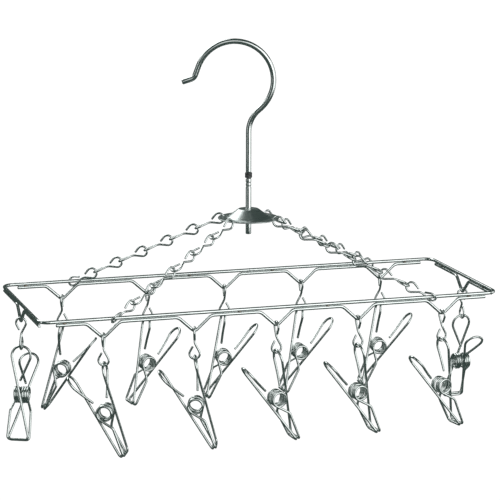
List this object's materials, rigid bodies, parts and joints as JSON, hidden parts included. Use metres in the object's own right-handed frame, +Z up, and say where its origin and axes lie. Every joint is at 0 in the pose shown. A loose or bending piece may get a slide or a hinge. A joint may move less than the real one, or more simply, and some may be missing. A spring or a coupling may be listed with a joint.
{
  "type": "clip drying hanger",
  "caption": "Stainless wire drying hanger: swivel hook, sheet hub, four jack chains, a notched rectangular wire frame, and spring-wire clips on links.",
  "frame": {"origin": "inner top of the hook's arc, where the hanger rests on a pole", "axes": "+Z up along the shank, +X along the frame's long side to the right, +Y to the back rail"},
  "size_m": [0.3417, 0.1468, 0.2654],
  "materials": {
    "hook_wire": "polished stainless wire",
    "frame_wire": "polished stainless wire",
    "link_wire": "bright drawn stainless wire",
    "clip_wire": "bright drawn stainless spring wire",
    "hub_sheet": "satin pressed stainless sheet",
    "spring_steel": "dark spring steel",
    "black_collar": "black nylon"
  },
  "bodies": {
    "hook": {"hook": "hook_wire", "swivel_collar": "black_collar"},
    "hub": {"stem": "hook_wire", "hub": "hub_sheet", "lock_washer": "spring_steel"},
    "frame": {"rail": "frame_wire", "notch_wire_front": "frame_wire", "notch_wire_back": "frame_wire", "notch_wire_left": "frame_wire", "notch_wire_right": "frame_wire", "chain_end_link_front_left": "link_wire", "chain_end_link_front_right": "link_wire", "chain_end_link_back_left": "link_wire", "chain_end_link_back_right": "link_wire"},
    "chain_upper_front_left": {"chain_upper_front_left": "link_wire"},
    "chain_lower_front_left": {"chain_lower_front_left": "link_wire"},
    "chain_upper_front_right": {"chain_upper_front_right": "link_wire"},
    "chain_lower_front_right": {"chain_lower_front_right": "link_wire"},
    "chain_upper_back_left": {"chain_upper_back_left": "link_wire"},
    "chain_lower_back_left": {"chain_lower_back_left": "link_wire"},
    "chain_upper_back_right": {"chain_upper_back_right": "link_wire"},
    "chain_lower_back_right": {"chain_lower_back_right": "link_wire"},
    "link_front_1": {"link_front_1": "link_wire"},
    "clip_front_1": {"clip_held_arm_front_1": "clip_wire"},
    "jaw_front_1": {"clip_free_arm_front_1": "clip_wire"},
    "link_front_2": {"link_front_2": "link_wire"},
    "clip_front_2": {"clip_held_arm_front_2": "clip_wire"},
    "jaw_front_2": {"clip_free_arm_front_2": "clip_wire"},
    "link_front_3": {"link_front_3": "link_wire"},
    "clip_front_3": {"clip_held_arm_front_3": "clip_wire"},
    "jaw_front_3": {"clip_free_arm_front_3": "clip_wire"},
    "link_front_4": {"link_front_4": "link_wire"},
    "clip_front_4": {"clip_held_arm_front_4": "clip_wire"},
    "jaw_front_4": {"clip_free_arm_front_4": "clip_wire"},
    "link_front_5": {"link_front_5": "link_wire"},
    "clip_front_5": {"clip_held_arm_front_5": "clip_wire"},
    "jaw_front_5": {"clip_free_arm_front_5": "clip_wire"},
    "link_back_1": {"link_back_1": "link_wire"},
    "clip_back_1": {"clip_held_arm_back_1": "clip_wire"},
    "jaw_back_1": {"clip_free_arm_back_1": "clip_wire"},
    "link_back_2": {"link_back_2": "link_wire"},
    "clip_back_2": {"clip_held_arm_back_2": "clip_wire"},
    "jaw_back_2": {"clip_free_arm_back_2": "clip_wire"},
    "link_back_3": {"link_back_3": "link_wire"},
    "clip_back_3": {"clip_held_arm_back_3": "clip_wire"},
    "jaw_back_3": {"clip_free_arm_back_3": "clip_wire"},
    "link_back_4": {"link_back_4": "link_wire"},
    "clip_back_4": {"clip_held_arm_back_4": "clip_wire"},
    "jaw_back_4": {"clip_free_arm_back_4": "clip_wire"},
    "link_back_5": {"link_back_5": "link_wire"},
    "clip_back_5": {"clip_held_arm_back_5": "clip_wire"},
    "jaw_back_5": {"clip_free_arm_back_5": "clip_wire"},
    "link_left": {"link_left": "link_wire"},
    "clip_left": {"clip_held_arm_left": "clip_wire"},
    "jaw_left": {"clip_free_arm_left": "clip_wire"},
    "link_right": {"link_right": "link_wire"},
    "clip_right": {"clip_held_arm_right": "clip_wire"},
    "jaw_right": {"clip_free_arm_right": "clip_wire"}
  },
  "joints": [
    {"name": "hook_swivel", "type": "hinge", "parent": "hook", "child": "hub", "pos_m": [0.00906, -0.00286, -0.0917], "axis": [0, 0, 1], "continuous": true},
    {"name": "frame_lift", "type": "slide", "parent": "hub", "child": "frame", "axis": [0, 0, 1], "range_m": [0, 0.04]},
    {"name": "chain_upper_front_left_hinge", "type": "hinge", "parent": "hub", "child": "chain_upper_front_left", "pos_m": [-0.00566, -0.01355, -0.1196], "axis": [0.4611, -0.8873, 0], "range_deg": [-4.39, 5]},
    {"name": "chain_lower_front_left_hinge", "type": "hinge", "parent": "frame", "child": "chain_lower_front_left", "pos_m": [-0.08725, -0.05595, -0.1626], "axis": [0.4611, -0.8873, 0], "range_deg": [-55.64, 5]},
    {"name": "chain_upper_front_right_hinge", "type": "hinge", "parent": "hub", "child": "chain_upper_front_right", "pos_m": [0.02378, -0.01355, -0.1196], "axis": [0.4536, 0.8912, 0], "range_deg": [-4.34, 5]},
    {"name": "chain_lower_front_right_hinge", "type": "hinge", "parent": "frame", "child": "chain_lower_front_right", "pos_m": [0.10706, -0.05593, -0.16258], "axis": [0.4536, 0.8912, 0], "range_deg": [-54.85, 5]},
    {"name": "chain_upper_back_left_hinge", "type": "hinge", "parent": "hub", "child": "chain_upper_back_left", "pos_m": [-0.00566, 0.00784, -0.1196], "axis": [-0.4611, -0.8873, 0], "range_deg": [-4.39, 5]},
    {"name": "chain_lower_back_left_hinge", "type": "hinge", "parent": "frame", "child": "chain_lower_back_left", "pos_m": [-0.08725, 0.05024, -0.1626], "axis": [-0.4611, -0.8873, 0], "range_deg": [-55.64, 5]},
    {"name": "chain_upper_back_right_hinge", "type": "hinge", "parent": "hub", "child": "chain_upper_back_right", "pos_m": [0.02378, 0.00784, -0.1196], "axis": [-0.4536, 0.8912, 0], "range_deg": [-4.34, 5]},
    {"name": "chain_lower_back_right_hinge", "type": "hinge", "parent": "frame", "child": "chain_lower_back_right", "pos_m": [0.10706, 0.05022, -0.16258], "axis": [-0.4536, 0.8912, 0], "range_deg": [-54.85, 5]},
    {"name": "link_front_1_swing", "type": "hinge", "parent": "frame", "child": "link_front_1", "pos_m": [-0.10894, -0.06286, -0.1815], "axis": [1, 0, 0], "range_deg": [-12, 12]},
    {"name": "clip_front_1_swing", "type": "hinge", "parent": "link_front_1", "child": "clip_front_1", "pos_m": [-0.10894, -0.06286, -0.19895], "axis": [0.4384, 0.8988, 0], "range_deg": [-15, 15]},
    {"name": "jaw_front_1_open", "type": "hinge", "parent": "clip_front_1", "child": "jaw_front_1", "pos_m": [-0.10826, -0.06319, -0.23246], "axis": [0.4384, 0.8988, 0], "range_deg": [0, 22], "stiffness_Nm_per_rad": 0.12, "springref_deg": -2.86},
    {"name": "link_front_2_swing", "type": "hinge", "parent": "frame", "child": "link_front_2", "pos_m": [-0.04694, -0.06286, -0.1815], "axis": [1, 0, 0], "range_deg": [-18, 18]},
    {"name": "clip_front_2_swing", "type": "hinge", "parent": "link_front_2", "child": "clip_front_2", "pos_m": [-0.04694, -0.06286, -0.19895], "axis": [0.342, 0.9397, 0], "range_deg": [-15, 15]},
    {"name": "jaw_front_2_open", "type": "hinge", "parent": "clip_front_2", "child": "jaw_front_2", "pos_m": [-0.04623, -0.06312, -0.23246], "axis": [0.342, 0.9397, 0], "range_deg": [0, 22], "stiffness_Nm_per_rad": 0.12, "springref_deg": -2.86},
    {"name": "link_front_3_swing", "type": "hinge", "parent": "frame", "child": "link_front_3", "pos_m": [0.01006, -0.06286, -0.1815], "axis": [1, 0, 0], "range_deg": [-18, 18]},
    {"name": "clip_front_3_swing", "type": "hinge", "parent": "link_front_3", "child": "clip_front_3", "pos_m": [0.01006, -0.06286, -0.19895], "axis": [-0.0785, 0.9969, 0], "range_deg": [-15, 15]},
    {"name": "jaw_front_3_open", "type": "hinge", "parent": "clip_front_3", "child": "jaw_front_3", "pos_m": [0.01082, -0.0628, -0.23246], "axis": [-0.0785, 0.9969, 0], "range_deg": [0, 22], "stiffness_Nm_per_rad": 0.12, "springref_deg": -2.86},
    {"name": "link_front_4_swing", "type": "hinge", "parent": "frame", "child": "link_front_4", "pos_m": [0.06806, -0.06286, -0.1815], "axis": [1, 0, 0], "range_deg": [-18, 18]},
    {"name": "clip_front_4_swing", "type": "hinge", "parent": "link_front_4", "child": "clip_front_4", "pos_m": [0.06806, -0.06286, -0.19895], "axis": [-0.1045, 0.9945, 0], "range_deg": [-15, 15]},
    {"name": "jaw_front_4_open", "type": "hinge", "parent": "clip_front_4", "child": "jaw_front_4", "pos_m": [0.06882, -0.06278, -0.23246], "axis": [-0.1045, 0.9945, 0], "range_deg": [0, 22], "stiffness_Nm_per_rad": 0.12, "springref_deg": -2.86},
    {"name": "link_front_5_swing", "type": "hinge", "parent": "frame", "child": "link_front_5", "pos_m": [0.12906, -0.06286, -0.1815], "axis": [1, 0, 0], "range_deg": [-18, 18]},
    {"name": "clip_front_5_swing", "type": "hinge", "parent": "link_front_5", "child": "clip_front_5", "pos_m": [0.12906, -0.06286, -0.19895], "axis": [-0.1908, 0.9816, 0], "range_deg": [-15, 15]},
    {"name": "jaw_front_5_open", "type": "hinge", "parent": "clip_front_5", "child": "jaw_front_5", "pos_m": [0.12981, -0.06271, -0.23246], "axis": [-0.1908, 0.9816, 0], "range_deg": [0, 22], "stiffness_Nm_per_rad": 0.12, "springref_deg": -2.86},
    {"name": "link_back_1_swing", "type": "hinge", "parent": "frame", "child": "link_back_1", "pos_m": [-0.10894, 0.05714, -0.1815], "axis": [-1, 0, 0], "range_deg": [-12, 12]},
    {"name": "clip_back_1_swing", "type": "hinge", "parent": "link_back_1", "child": "clip_back_1", "pos_m": [-0.10894, 0.05714, -0.19895], "axis": [-0.454, -0.891, 0], "range_deg": [-15, 15]},
    {"name": "jaw_back_1_open", "type": "hinge", "parent": "clip_back_1", "child": "jaw_back_1", "pos_m": [-0.10962, 0.05749, -0.23246], "axis": [-0.454, -0.891, 0], "range_deg": [0, 22], "stiffness_Nm_per_rad": 0.12, "springref_deg": -2.86},
    {"name": "link_back_2_swing", "type": "hinge", "parent": "frame", "child": "link_back_2", "pos_m": [-0.04694, 0.05714, -0.1815], "axis": [-1, 0, 0], "range_deg": [-18, 18]},
    {"name": "clip_back_2_swing", "type": "hinge", "parent": "link_back_2", "child": "clip_back_2", "pos_m": [-0.04694, 0.05714, -0.19895], "axis": [0.1045, -0.9945, 0], "range_deg": [-15, 15]},
    {"name": "jaw_back_2_open", "type": "hinge", "parent": "clip_back_2", "child": "jaw_back_2", "pos_m": [-0.0477, 0.05706, -0.23246], "axis": [0.1045, -0.9945, 0], "range_deg": [0, 22], "stiffness_Nm_per_rad": 0.12, "springref_deg": -2.86},
    {"name": "link_back_3_swing", "type": "hinge", "parent": "frame", "child": "link_back_3", "pos_m": [0.01006, 0.05714, -0.1815], "axis": [-1, 0, 0], "range_deg": [-18, 18]},
    {"name": "clip_back_3_swing", "type": "hinge", "parent": "link_back_3", "child": "clip_back_3", "pos_m": [0.01006, 0.05714, -0.19895], "axis": [-0.1219, -0.9925, 0], "range_deg": [-15, 15]},
    {"name": "jaw_back_3_open", "type": "hinge", "parent": "clip_back_3", "child": "jaw_back_3", "pos_m": [0.00931, 0.05724, -0.23246], "axis": [-0.1219, -0.9925, 0], "range_deg": [0, 22], "stiffness_Nm_per_rad": 0.12, "springref_deg": -2.86},
    {"name": "link_back_4_swing", "type": "hinge", "parent": "frame", "child": "link_back_4", "pos_m": [0.06806, 0.05714, -0.1815], "axis": [-1, 0, 0], "range_deg": [-18, 18]},
    {"name": "clip_back_4_swing", "type": "hinge", "parent": "link_back_4", "child": "clip_back_4", "pos_m": [0.06806, 0.05714, -0.19895], "axis": [0.0087, -1, 0], "range_deg": [-15, 15]},
    {"name": "jaw_back_4_open", "type": "hinge", "parent": "clip_back_4", "child": "jaw_back_4", "pos_m": [0.0673, 0.05714, -0.23246], "axis": [0.0087, -1, 0], "range_deg": [0, 22], "stiffness_Nm_per_rad": 0.12, "springref_deg": -2.86},
    {"name": "link_back_5_swing", "type": "hinge", "parent": "frame", "child": "link_back_5", "pos_m": [0.12906, 0.05714, -0.1815], "axis": [-1, 0, 0], "range_deg": [-18, 18]},
    {"name": "clip_back_5_swing", "type": "hinge", "parent": "link_back_5", "child": "clip_back_5", "pos_m": [0.12906, 0.05714, -0.19895], "axis": [-0.1219, -0.9925, 0], "range_deg": [-15, 15]},
    {"name": "jaw_back_5_open", "type": "hinge", "parent": "clip_back_5", "child": "jaw_back_5", "pos_m": [0.12831, 0.05724, -0.23246], "axis": [-0.1219, -0.9925, 0], "range_deg": [0, 22], "stiffness_Nm_per_rad": 0.12, "springref_deg": -2.86},
    {"name": "link_left_swing", "type": "hinge", "parent": "frame", "child": "link_left", "pos_m": [-0.15094, -0.00286, -0.1815], "axis": [0, -1, 0], "range_deg": [-12, 12]},
    {"name": "clip_left_swing", "type": "hinge", "parent": "link_left", "child": "clip_left", "pos_m": [-0.15094, -0.00286, -0.19895], "axis": [0.8988, -0.4384, 0], "range_deg": [-15, 15]},
    {"name": "jaw_left_open", "type": "hinge", "parent": "clip_left", "child": "jaw_left", "pos_m": [-0.15127, -0.00354, -0.23246], "axis": [0.8988, -0.4384, 0], "range_deg": [0, 22], "stiffness_Nm_per_rad": 0.12, "springref_deg": -2.86},
    {"name": "link_right_swing", "type": "hinge", "parent": "frame", "child": "link_right", "pos_m": [0.16906, -0.00286, -0.1815], "axis": [0, 1, 0], "range_deg": [-18, 18]},
    {"name": "clip_right_swing", "type": "hinge", "parent": "link_right", "child": "clip_right", "pos_m": [0.16906, -0.00286, -0.19895], "axis": [-0.9986, -0.0523, 0], "range_deg": [-15, 15]},
    {"name": "jaw_right_open", "type": "hinge", "parent": "clip_right", "child": "jaw_right", "pos_m": [0.16902, -0.0021, -0.23246], "axis": [-0.9986, -0.0523, 0], "range_deg": [0, 22], "stiffness_Nm_per_rad": 0.12, "springref_deg": -2.86}
  ],
  "couplings": [
    {"joint": "chain_upper_front_left_hinge", "follows": "frame_lift", "rad_per_m": -1.4809},
    {"joint": "chain_lower_front_left_hinge", "follows": "frame_lift", "rad_per_m": -23.842},
    {"joint": "chain_upper_front_right_hinge", "follows": "frame_lift", "rad_per_m": -1.4592},
    {"joint": "chain_lower_front_right_hinge", "follows": "frame_lift", "rad_per_m": -23.497},
    {"joint": "chain_upper_back_left_hinge", "follows": "frame_lift", "rad_per_m": -1.4809},
    {"joint": "chain_lower_back_left_hinge", "follows": "frame_lift", "rad_per_m": -23.842},
    {"joint": "chain_upper_back_right_hinge", "follows": "frame_lift", "rad_per_m": -1.4592},
    {"joint": "chain_lower_back_right_hinge", "follows": "frame_lift", "rad_per_m": -23.497}
  ]
}
